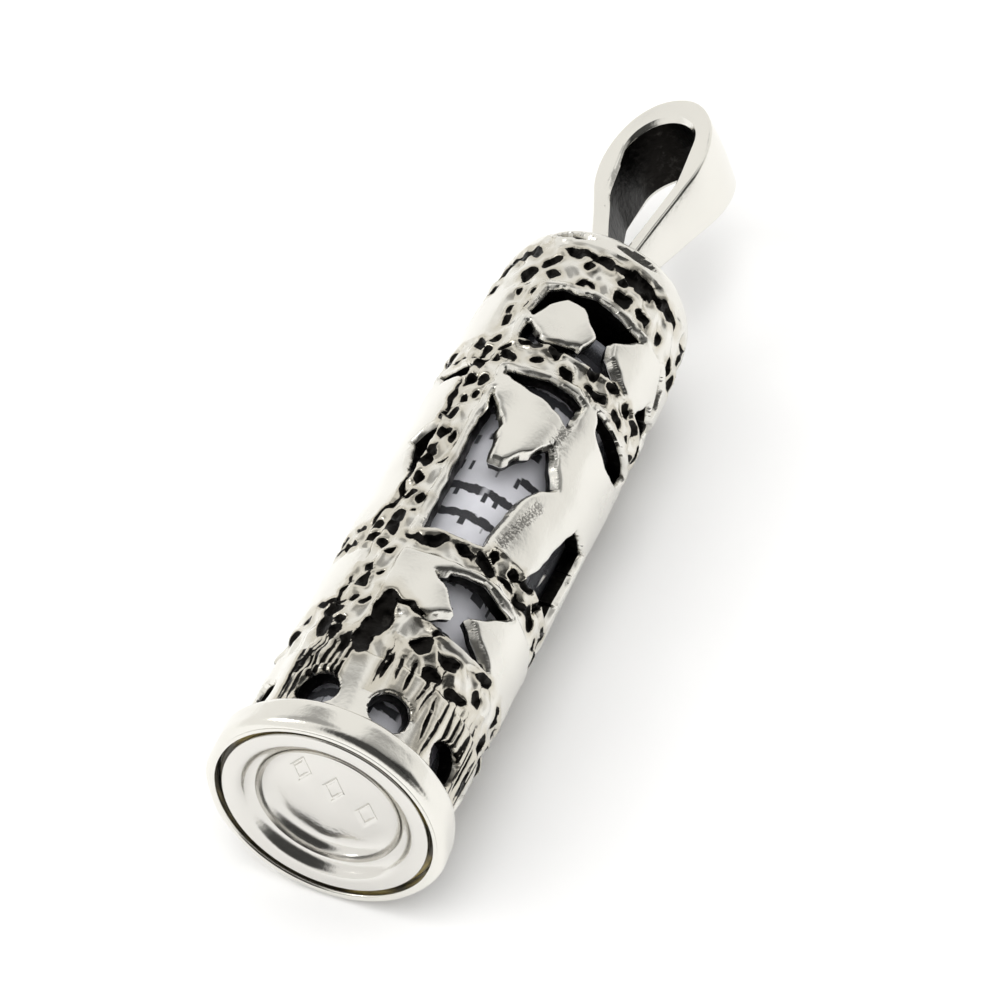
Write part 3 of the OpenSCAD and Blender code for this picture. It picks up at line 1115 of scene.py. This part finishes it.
    def sleeve(self, silver: bpy.types.Material) -> None:
        """The sleeve in four quarters, so that its mesh can be fine.

        Args:
            silver: the piece's material.
        """
        heights = np.linspace(self.foot, self.joint, 382)
        for number in range(4):
            angles = np.linspace(90.0 * number, 90.0 * number + 90.0, 104)
            shell = self.shell(angles, heights, False, False)
            dress(shell.piece(f"sleeve_quarter_{number + 1}"), silver, Slot.OXIDISED, Body.CASE,
                  "case_sleeve")

    def crown(self, silver: bpy.types.Material) -> None:
        """The crown with its pits, splashes and leaf slots, closed at its pole.

        Args:
            silver: the piece's material.
        """
        heights = np.linspace(self.joint, self.end, 84)
        angles = np.linspace(0.0, 360.0, 451)[:-1]
        shell = self.shell(angles, heights, True, True)
        dress(shell.piece("crown_dome"), silver, Slot.OXIDISED, Body.CASE, "crown_cap")


# ---------------------------------------------------------------- bail, collar, stopper and seal


@dataclass
class Bail:
    """The tapered teardrop bail.

    Attributes:
        loop_r: radius of the loop's round part.
        loop_z: height of its centre.
        waist_r: radius of the narrower round under it, which fills out the teardrop's sides.
        waist_z: height of that round's centre.
        tip: height at which the loop closes.
        half_y: half the outer width.
        half_z: half the outer height of the head.
        foot: half the thickness of the foot.
        width: width along the hole at the foot and at the top.
        chamfer: width of the inner bevel.
    """

    loop_r: float = 1.68
    loop_z: float = 39.4
    waist_r: float = 1.6
    waist_z: float = 37.2
    tip: float = 31.93
    half_y: float = 2.74
    half_z: float = 3.77
    foot: float = 0.5
    width: Point = (1.1, 3.8)
    chamfer: float = 0.2

    def __post_init__(self) -> None:
        """Reads the bail's foot and top from the frame."""
        low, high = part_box("bail")
        self.base, self.top = low.z / MM, high.z / MM

    def _outlines(self) -> tuple[Array, Array]:
        """The outer and the inner outline as (y, z), with one point of each for a station.

        Returns:
            The outer and the inner outline, each of shape (n, 2).
        """
        centre = self.top - self.half_z
        a, b = self.foot / self.half_y, (self.base - centre) / self.half_z
        touch = math.atan2(b, a) + math.acos(1.0 / math.hypot(a, b))
        head = np.linspace(touch, math.pi - touch, 110)[:, None]
        outer_head = np.hstack([self.half_y * np.cos(head), centre + self.half_z * np.sin(head)])
        lean = math.acos(self.waist_r / (self.waist_z - self.tip))
        slope = math.asin((self.waist_r - self.loop_r) / (self.loop_z - self.waist_z))
        lower = np.linspace(lean - math.pi / 2, slope, 60)[:, None]
        upper = np.linspace(slope, math.pi / 2, 60)[:, None]
        right = np.concatenate([
            np.hstack([self.waist_r * np.cos(lower), self.waist_z + self.waist_r * np.sin(lower)]),
            np.hstack([self.loop_r * np.cos(upper), self.loop_z + self.loop_r * np.sin(upper)])])
        inner_head = resampled(np.concatenate([right, right[::-1] * (-1.0, 1.0)]), 110)
        t = np.linspace(0.0, 1.0, 46)[:-1, None]
        side = np.array([self.foot, self.base]) * (1 - t) + outer_head[0] * t
        inner_side = np.array([0.02, self.tip]) * (1 - t) + inner_head[0] * t
        under = np.linspace(-self.foot, self.foot, 8)[1:-1, None]
        under_outer = np.hstack([under, np.full(under.shape, self.base)])
        under_inner = np.hstack([0.04 * under, np.full(under.shape, self.tip)])
        mirror = (-1.0, 1.0)
        outer = np.concatenate([under_outer, side, outer_head, side[::-1] * mirror])
        inner = np.concatenate([under_inner, inner_side, inner_head, inner_side[::-1] * mirror])
        return outer, inner

    def build(self, silver: bpy.types.Material) -> None:
        """Carries a bevelled section round the loop, narrower towards the foot.

        Args:
            silver: the piece's material.
        """
        outer, inner = self._outlines()
        rise = (self.base, self.top)
        half_out = np.interp(outer[:, 1], rise, self.width)[:, None] / 2
        half_in = np.interp(inner[:, 1], rise, self.width)[:, None] / 2
        thick = np.maximum(np.linalg.norm(outer - inner, axis=1), 0.05)[:, None]
        corner = np.minimum(0.13, 0.3 * half_out)
        bevel = np.minimum(self.chamfer, 0.35 * half_in)
        quarter = np.linspace(0.0, math.pi / 2, 6)
        face = np.linspace(-1.0, 1.0, 9)[1:-1]
        fall = 0.05 * half_out * face ** 2
        share, across, dark = [], [], []

        def column(x: Array, inward: Array, mark: float) -> None:
            """Adds one line of the section: its distance across and its depth from the outside.

            Args:
                x: distance across, at every station.
                inward: depth from the outside, at every station.
                mark: 1 where the line is blackened.
            """
            across.append(x)
            share.append(inward)
            dark.append(np.full(len(outer), mark))

        for value, drop in zip(face, fall.T):
            column((half_out - corner)[:, 0] * value, drop, 0.0)
        for q in quarter:
            column((half_out - corner + corner * math.sin(q))[:, 0],
                   (corner * (1.0 - math.cos(q)) + 0.05 * half_out)[:, 0], 0.0)
        flank = np.linspace(0.12, 0.9, 5)
        for f in flank:
            column((half_out * (1 - f) + half_in * f)[:, 0],
                   (0.05 * half_out + corner + (thick - bevel - corner) * f)[:, 0], 0.0)
        column(half_in[:, 0], (thick - bevel)[:, 0], 0.0)
        column((half_in - 0.5 * bevel)[:, 0], (thick - 0.42 * bevel)[:, 0], 0.0)
        column((half_in - bevel)[:, 0], thick[:, 0], 0.26)
        for value in (0.9, 0.45, 0.0):
            column((half_in - bevel)[:, 0] * value, thick[:, 0], 1.0)
        left = list(zip(across, share, dark))
        for x, inward, mark in left[-2:6:-1]:
            across.append(-x)
            share.append(inward)
            dark.append(mark)
        x = np.stack(across, 1)
        depth = np.stack(share, 1) / thick
        y = outer[:, :1] * (1 - depth) + inner[:, :1] * depth
        z = outer[:, 1:] * (1 - depth) + inner[:, 1:] * depth
        points = np.stack([x, y, z], axis=-1)
        points[..., :2] += 0.012 * soft_noise(points, 2.4, 31)[..., None]
        wall = np.stack(dark, 1)
        surface = grid_surface(points, True, True, wall=wall, pit=np.ones(wall.shape),
                               rough=0.0 * wall)
        dress(surface.piece("bail_loop", 30.0), silver, Slot.BAIL, Body.CASE, "bail")


@dataclass
class Collar:
    """The rounded base collar, a ring with a slightly uneven hand-finished face.

    Attributes:
        land: rounding of the edge beside the stopper.
        bead: rounding of the outer edges.
        recess: radius of the seat for the stopper's flange.
    """

    land: float = 0.16
    bead: float = 0.5
    recess: float = 4.56

    def build(self, silver: bpy.types.Material) -> None:
        """Turns the rounded section round the axis and adds a shallow unevenness.

        Args:
            silver: the piece's material.
        """
        _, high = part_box("base_collar")
        outer, top = high.x / MM, high.z / MM
        sleeve_low, sleeve_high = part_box("case_sleeve")
        inner, seat = sleeve_high.x / MM, sleeve_low.z / MM
        corners = [(self.recess, 0.0), (outer, 0.0), (outer, top), (inner, top), (inner, seat),
                   (self.recess, seat)]
        profile = rounded_profile(corners, [self.land, self.bead, self.bead, 0.12, 0.02, 0.02], 14)
        profile = resampled(profile, 130, closed=True)
        angle = np.linspace(0.0, 360.0, 361)[:-1]
        points = around(profile[:, :1], profile[:, 1:], angle[None, :])
        body = points.copy()
        outside = ramp(np.hypot(points[..., 0], points[..., 1]), inner + 0.1, outer)[..., None]
        radial = points * (1.0, 1.0, 0.0)
        radial /= np.linalg.norm(radial, axis=-1, keepdims=True)
        points -= radial * outside * 0.02 * (1.0 + soft_noise(body, 2.6, 41))[..., None]
        surface = grid_surface(points, True, True)
        dress(surface.piece("collar_ring", 50.0), silver, Slot.COLLAR, Body.CASE, "base_collar")


@dataclass
class Stopper:
    """The dished stopper, with three plain engraved lozenges on its disc.

    Attributes:
        rings: number of rings of points on the flat part of the disc.
        curve_steps: points in each rounded corner of the profile.
        disc: radius of the flat disc.
        dish: radius of the dish at its rim.
        depth: depth of the disc under the rim.
        marks: centres of the lozenges.
        mark_size: half length and half width of a lozenge.
        skirt: radius of the skirt inside the sleeve.
        sheet: thickness of the metal.
        groove: half the width of an engraved line.
        disc_round: how far from the disc's edge its rounding begins.
        engraving: depth of an engraved line.
    """

    rings: int = 74
    curve_steps: int = 12
    disc: float = 2.97
    dish: float = 3.64
    depth: float = 0.95
    skirt: float = 3.68
    sheet: float = 0.32
    marks: tuple[Point, ...] = ((-1.52, 0.78), (-0.42, -0.22), (0.98, -1.08))
    mark_size: Point = (0.62, 0.36)
    groove: float = 0.09
    disc_round: float = 0.6
    engraving: float = 0.1

    def build(self, silver: bpy.types.Material) -> None:
        """Turns the stepped dish and its skirt round the axis, and engraves the disc.

        Args:
            silver: the piece's material.
        """
        low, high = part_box("stopper")
        flange, floor, top = high.x / MM, low.z / MM, high.z / MM
        disc_z = floor + self.depth
        back = disc_z + self.sheet
        ledge = floor + 0.5 * self.depth
        inside = rounded_profile(
            [(0.0, disc_z), (self.disc, disc_z), (self.disc + 0.04, ledge + 0.03),
             (self.dish - 0.28, ledge - 0.02), (self.dish - 0.02, floor), (flange, floor),
             (flange, floor + 0.33), (self.skirt, floor + 0.33), (self.skirt, top),
             (self.skirt - self.sheet, top), (self.skirt - self.sheet, back), (0.0, back)],
            [1e-4, self.disc_round, 0.1, 0.24, 0.24, 0.13, 0.1, 0.04, 0.1, 0.1, 0.1, 1e-4],
            self.curve_steps)
        flat = np.linspace(0.0, self.disc - self.disc_round - 0.02, self.rings)[:-1]
        face = np.column_stack([flat, np.full(flat.shape, disc_z)])
        line = np.concatenate([face, inside[self.curve_steps:]])
        angle = np.linspace(0.0, 360.0, 481)[:-1]
        points = around(line[:, :1], line[:, 1:], angle[None, :])
        near = np.arange(len(line)) < self.rings
        x, y = points[near, :, 0], points[near, :, 1]
        cut = np.zeros(x.shape)
        for cx, cy in self.marks:
            turn = math.atan2(self.marks[-1][1] - self.marks[0][1],
                              self.marks[-1][0] - self.marks[0][0]) + 1.2
            a = ((x - cx) * math.cos(turn) + (y - cy) * math.sin(turn)) / self.mark_size[0]
            b = ((y - cy) * math.cos(turn) - (x - cx) * math.sin(turn)) / self.mark_size[1]
            off = np.abs(np.abs(a) + np.abs(b) - 1.0) * min(self.mark_size)
            cut = np.maximum(cut, np.exp(-((off / self.groove) ** 2)))
        dome = 0.06 * ramp(np.hypot(x, y), 0.86 * self.disc, 0.3 * self.disc)
        points[near, :, 2] += self.engraving * cut - dome + 0.006 * soft_noise(points[near], 1.6, 52)
        surface = grid_surface(points, False, True)
        dress(surface.piece("stopper_dish", 45.0), silver, Slot.PRESSED, Body.STOPPER, "stopper")


@dataclass
class SealingRing:
    """The thin amber ring behind the stopper's flange, squeezed out a little unevenly.

    Attributes:
        inner: inner radius of the ring.
        rounding: rounding of its edges.
        sway: height of the unevenness.
    """

    inner: float = 3.8
    rounding: float = 0.09
    sway: float = 0.015

    def build(self, amber: bpy.types.Material) -> None:
        """Turns a soft oblong section round the axis with a wavy lower face.

        Args:
            amber: the piece's material.
        """
        low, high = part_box("sealing_ring")
        outer, floor, top = high.x / MM, low.z / MM, high.z / MM
        corners = [(self.inner, floor), (outer, floor), (outer, top), (self.inner, top)]
        profile = resampled(rounded_profile(corners, [self.rounding] * 4, 8), 48, closed=True)
        angle = np.linspace(0.0, 360.0, 241)[:-1]
        points = around(profile[:, :1], profile[:, 1:], angle[None, :])
        under = ramp(points[..., 2], top, floor)
        points[..., 2] += self.sway * under * (1.0 + soft_noise(points, 2.2, 61))
        surface = grid_surface(points, True, True)
        dress(surface.piece("seal_bead"), amber, Slot.SEAL, Body.CASE, "sealing_ring")


# ---------------------------------------------------------------- the contents


@dataclass
class Liner:
    """The clear tube round the parchment, with rounded lips.

    Attributes:
        wall: thickness of the wall.
        rounding: rounding of the lips.
    """

    wall: float = 0.3
    rounding: float = 0.13

    def build(self, clear: bpy.types.Material) -> None:
        """Turns the thin section round the axis, with a slightly wavy wall.

        Args:
            clear: the piece's material.
        """
        low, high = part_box("liner_tube")
        outer, floor, top = high.x / MM, low.z / MM, high.z / MM
        corners = [(outer - self.wall, floor), (outer, floor), (outer, top), (outer - self.wall, top)]
        profile = resampled(rounded_profile(corners, [self.rounding] * 4, 10), 240, closed=True)
        angle = np.linspace(0.0, 360.0, 193)[:-1]
        points = around(profile[:, :1], profile[:, 1:], angle[None, :])
        points[..., :2] *= 1.0 - 0.002 * (1.0 + soft_noise(points, 5.0, 71))[..., None]
        # painted sheen: the points near each end carry a value that makes the wall denser and grey
        # there, where the rim would catch light
        lip = ramp(points[..., 2], top - 0.5, top - 0.3) + ramp(points[..., 2], floor + 0.3, floor)
        surface = grid_surface(points, True, True, lip=lip)
        dress(surface.piece("liner_wall", 60.0), clear, Slot.LINER, Body.LINER, "liner_tube")


@dataclass
class Scroll:
    """The rolled parchment.

    Attributes:
        thickness: of the sheet.
        pitch: spacing of the turns.
        turns: number of turns.
        outer: radius of the roll.
        stations: points along each face of the sheet.
    """

    thickness: float = 0.16
    pitch: float = 0.36
    turns: float = 3.5
    outer: float = 3.12
    stations: int = 420

    def build(self, parchment: bpy.types.Material) -> None:
        """Carries the sheet's two faces along a spiral that winds inwards, and closes its edges.

        Args:
            parchment: the piece's material.
        """
        low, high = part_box("parchment_scroll")
        turn = np.linspace(0.0, self.turns, self.stations)
        middle = self.outer - self.thickness / 2 - self.pitch * turn
        run = np.concatenate([[0.0], np.cumsum(np.diff(turn) * 2 * math.pi * middle[1:])])
        loop_turn = np.concatenate([turn, turn[::-1]])
        half = np.full(self.stations, 0.5 * self.thickness)
        side = np.concatenate([half, -half])
        radius = np.concatenate([middle, middle[::-1]]) + side
        along = np.concatenate([run, run[::-1]])
        height = np.linspace(low.z / MM, high.z / MM, 90)
        points = around(radius[None, :], height[:, None], 360.0 * loop_turn[None, :])
        ripple = 0.02 * soft_noise(points, 4.0, 81)[..., None]
        points[..., :2] *= 1.0 - 0.01 * np.abs(ripple)
        surface = grid_surface(points, False, True, run=np.broadcast_to(along, points.shape[:2]),
                               rise=np.broadcast_to(height[:, None], points.shape[:2]))
        strip = np.arange(self.stations - 1)
        loop = 2 * self.stations
        caps = []
        for first, turned in ((0, False), ((len(height) - 1) * loop, True)):
            a, b = first + strip, first + strip + 1
            d, c = first + loop - 1 - strip, first + loop - 2 - strip
            pair = [np.stack([a, c, b], 1), np.stack([a, d, c], 1)]
            caps += [p[:, ::-1] if turned else p for p in pair]
        surface.triangles = np.concatenate([surface.triangles, *caps])
        obj = surface.piece("parchment_roll", 50.0)
        self._unroll(obj)
        dress(obj, parchment, Slot.PARCHMENT, Body.SCROLL, "parchment_scroll")

    @staticmethod
    def _unroll(obj: bpy.types.Object) -> None:
        """Writes the unrolled place, in millimetres, into the UV map named roll.

        Args:
            obj: the roll, whose points carry the values run and rise.
        """
        mesh = obj.data
        corner = np.zeros(len(mesh.loops), dtype=np.int32)
        mesh.loops.foreach_get("vertex_index", corner)
        uv = np.zeros((len(corner), 2), dtype=np.float32)
        for k, key in enumerate(("run", "rise")):
            value = np.zeros(len(mesh.vertices), dtype=np.float32)
            mesh.attributes[key].data.foreach_get("value", value)
            uv[:, k] = value[corner]
        layer = mesh.uv_layers.new(name="roll")
        layer.uv.foreach_set("vector", uv.ravel())


# ---------------------------------------------------------------- the studio


@dataclass
class Studio:
    """Floor, light and camera.

    The pendant lies on its side on the floor, so the floor is an upright plane in the part's own
    frame. It faces floor_azimuth and touches the collar.

    Attributes:
        floor_azimuth: azimuth that the floor faces, in degrees.
        floor_size: half the floor's side in metres.
        aim: the point in the middle of the picture, in millimetres.
        look_azimuth: azimuth of the viewing direction, in degrees.
        look_elevation: elevation of the viewing direction, in degrees.
        roll: turn of the camera about its own axis, in degrees.
        distance: from the camera to the aim, in millimetres.
        lens: focal length in millimetres.
    """

    floor_azimuth: float = -157.2
    floor_size: float = 0.5
    aim: tuple[float, float, float] = (0.16, -0.18, 18.19)
    look_azimuth: float = 41.90
    look_elevation: float = 40.14
    roll: float = 28.30
    distance: float = 181.8
    lens: float = 159.33

    def __post_init__(self) -> None:
        """Works out the floor's normal and the camera's direction."""
        turn = math.radians(self.floor_azimuth)
        self.normal = Vector((math.cos(turn), math.sin(turn), 0.0))
        yaw, rise = math.radians(self.look_azimuth), math.radians(self.look_elevation)
        self.look = Vector((math.cos(yaw) * math.cos(rise), math.sin(yaw) * math.cos(rise),
                            math.sin(rise)))

    def camera(self) -> None:
        """The camera on its stand, turned about its own axis by the roll."""
        data = bpy.data.cameras.new("camera")
        data.lens, data.sensor_width = self.lens, 36.0
        data.clip_start, data.clip_end = 0.01, 10.0
        cam = bpy.data.objects.new("camera", data)
        cam.location = (Vector(self.aim) - self.look * self.distance) * MM
        cam.rotation_mode = "QUATERNION"
        level = self.look.to_track_quat("-Z", "Y")
        cam.rotation_quaternion = level @ Quaternion((0.0, 0.0, 1.0), math.radians(self.roll))
        bpy.context.scene.collection.objects.link(cam)
        bpy.context.scene.camera = cam
        self.right = cam.rotation_quaternion @ Vector((1.0, 0.0, 0.0))
        self.up = cam.rotation_quaternion @ Vector((0.0, 1.0, 0.0))

    def floor(self) -> None:
        """A pale plane that is seen from its front only."""
        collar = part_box("base_collar")[1].x
        centre = -self.normal * (collar + 0.00002) + Vector((0.0, 0.0, 0.02))
        side = Vector((-self.normal.y, self.normal.x, 0.0)) * self.floor_size
        up = Vector((0.0, 0.0, 1.0)) * self.floor_size
        mesh = bpy.data.meshes.new("floor")
        mesh.from_pydata([centre - side - up, centre + side - up, centre + side + up,
                          centre - side + up], [], [(0, 1, 2, 3)])
        obj = bpy.data.objects.new("floor", mesh)
        bpy.context.scene.collection.objects.link(obj)
        n = Nodes("floor")
        n.shader.inputs["Base Color"].default_value = (0.97, 0.97, 0.97, 1.0)
        n.shader.inputs["Roughness"].default_value = 0.7
        clear = n.add("BsdfTransparent")
        back = n.add("NewGeometry").outputs["Backfacing"]
        mix = n.add("MixShader", {0: back, 1: n.shader.outputs[0], 2: clear.outputs[0]})
        out = next(x for x in n.tree.nodes if x.type == "OUTPUT_MATERIAL")
        n.tree.links.new(mix.outputs[0], out.inputs["Surface"])
        mesh.materials.append(n.material)

    def softbox(self, name: str, offset: Vector, size: float, power: float,
                mirrored: bool = False) -> None:
        """A square area light that looks at the pendant's middle from an offset in metres.

        Args:
            name: the light's name.
            offset: from the pendant's middle to the light, in metres.
            size: side of the square in metres.
            power: in watts.
            mirrored: whether polished metal shows the light.
        """
        data = bpy.data.lights.new(name, "AREA")
        data.shape, data.size, data.energy = "SQUARE", size, power
        lamp = bpy.data.objects.new(name, data)
        target = Vector(self.aim) * MM
        lamp.location = target + offset
        lamp.rotation_mode = "QUATERNION"
        lamp.rotation_quaternion = (-offset).to_track_quat("-Z", "Y")
        lamp.visible_camera = False
        lamp.visible_glossy = mirrored
        bpy.context.scene.collection.objects.link(lamp)

    def world(self) -> None:
        """A white tent with soft dark gaps, and a plain pale background behind the object."""
        world = bpy.data.worlds.new("tent")
        bpy.context.scene.world = world
        world.use_nodes = True
        tree = world.node_tree
        tree.nodes.clear()

        def add(kind: str, **settings: object) -> bpy.types.Node:
            """Adds a node to the world's tree.

            Args:
                kind: the node's type without its ShaderNode prefix.
                settings: properties of the node.

            Returns:
                The new node.
            """
            node = tree.nodes.new("ShaderNode" + kind)
            for key, value in settings.items():
                setattr(node, key, value)
            return node

        direction = add("TexCoord").outputs["Generated"]
        level: bpy.types.NodeSocket | None = None
        # direction of each gap, cosine where it starts, cosine where it is full, and how dark it is
        gaps = ((0.2 * self.right - self.look, 0.60, 0.84, 0.94),
                (0.75 * self.right + 0.6 * self.up - 0.5 * self.look, 0.86, 0.96, 0.6),
                (0.9 * self.right + 0.1 * self.up - 0.45 * self.look, 0.90, 0.97, 0.9),
                (0.9 * self.up - 0.35 * self.look - 0.3 * self.right, 0.9, 0.98, 0.6))
        for axis, start, end, depth in gaps:
            dot = add("VectorMath", operation="DOT_PRODUCT")
            tree.links.new(direction, dot.inputs[0])
            dot.inputs[1].default_value = axis.normalized()
            shade = add("MapRange", interpolation_type="SMOOTHSTEP")
            tree.links.new(dot.outputs["Value"], shade.inputs["Value"])
            for key, value in (("From Min", start), ("From Max", end), ("To Min", 1.0),
                               ("To Max", 1.0 - depth)):
                shade.inputs[key].default_value = value
            if level is None:
                level = shade.outputs["Result"]
            else:
                product = add("Math", operation="MULTIPLY")
                tree.links.new(level, product.inputs[0])
                tree.links.new(shade.outputs["Result"], product.inputs[1])
                level = product.outputs[0]
        tent = add("Background")
        tree.links.new(level, tent.inputs["Strength"])
        tent.inputs["Color"].default_value = (0.99, 0.98, 0.955, 1.0)
        plain = add("Background")
        plain.inputs["Color"].default_value = (1.0, 1.0, 1.0, 1.0)
        seen = add("LightPath").outputs["Is Camera Ray"]
        mix = add("MixShader")
        out = add("OutputWorld")
        tree.links.new(seen, mix.inputs[0])
        tree.links.new(tent.outputs[0], mix.inputs[1])
        tree.links.new(plain.outputs[0], mix.inputs[2])
        tree.links.new(mix.outputs[0], out.inputs["Surface"])

    def build(self) -> None:
        """Sets up the camera, the floor, the lights and the plain view transform."""
        self.camera()
        self.floor()
        self.world()
        self.softbox("key", (-self.right * 0.45 + self.up * 0.1 - self.look) * 0.9, 1.3, 7.0)
        self.softbox("fill", (self.right * 0.25 + self.up * 0.7 - self.look) * 0.9, 1.1, 5.6)
        self.softbox("sparkle", -self.right * 0.75 + self.up * 0.6 - self.look * 0.45, 0.25, 0.8, True)
        scene = bpy.context.scene
        scene.view_settings.view_transform = "Standard"
        scene.view_settings.look = "None"
        LOG.info("studio ready")


def main() -> None:
    """Builds every piece of the pendant and the studio round it."""
    logging.basicConfig(level=logging.INFO)
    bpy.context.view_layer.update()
    studio = Studio()
    studio.build()
    oxidised = Silver("oxidised_silver").build()
    case = Case()
    case.sleeve(oxidised)
    case.crown(oxidised)
    Bail().build(Silver("bail_silver", polish=(0.12, 0.22), wave_height=0.00002).build())
    Collar().build(Silver("collar_silver", polish=(0.14, 0.26), blackened=False).build())
    Stopper().build(Silver("pressed_silver", metal=(0.74, 0.725, 0.69),
                           polish=(0.12, 0.22), grain_height=0.000008, wave_height=0.00001,
                           blackened=False).build())
    SealingRing().build(AmberSeal().build())
    Liner().build(ClearLiner().build())
    Scroll().build(Parchment().build())


if __name__ == "__main__":
    main()
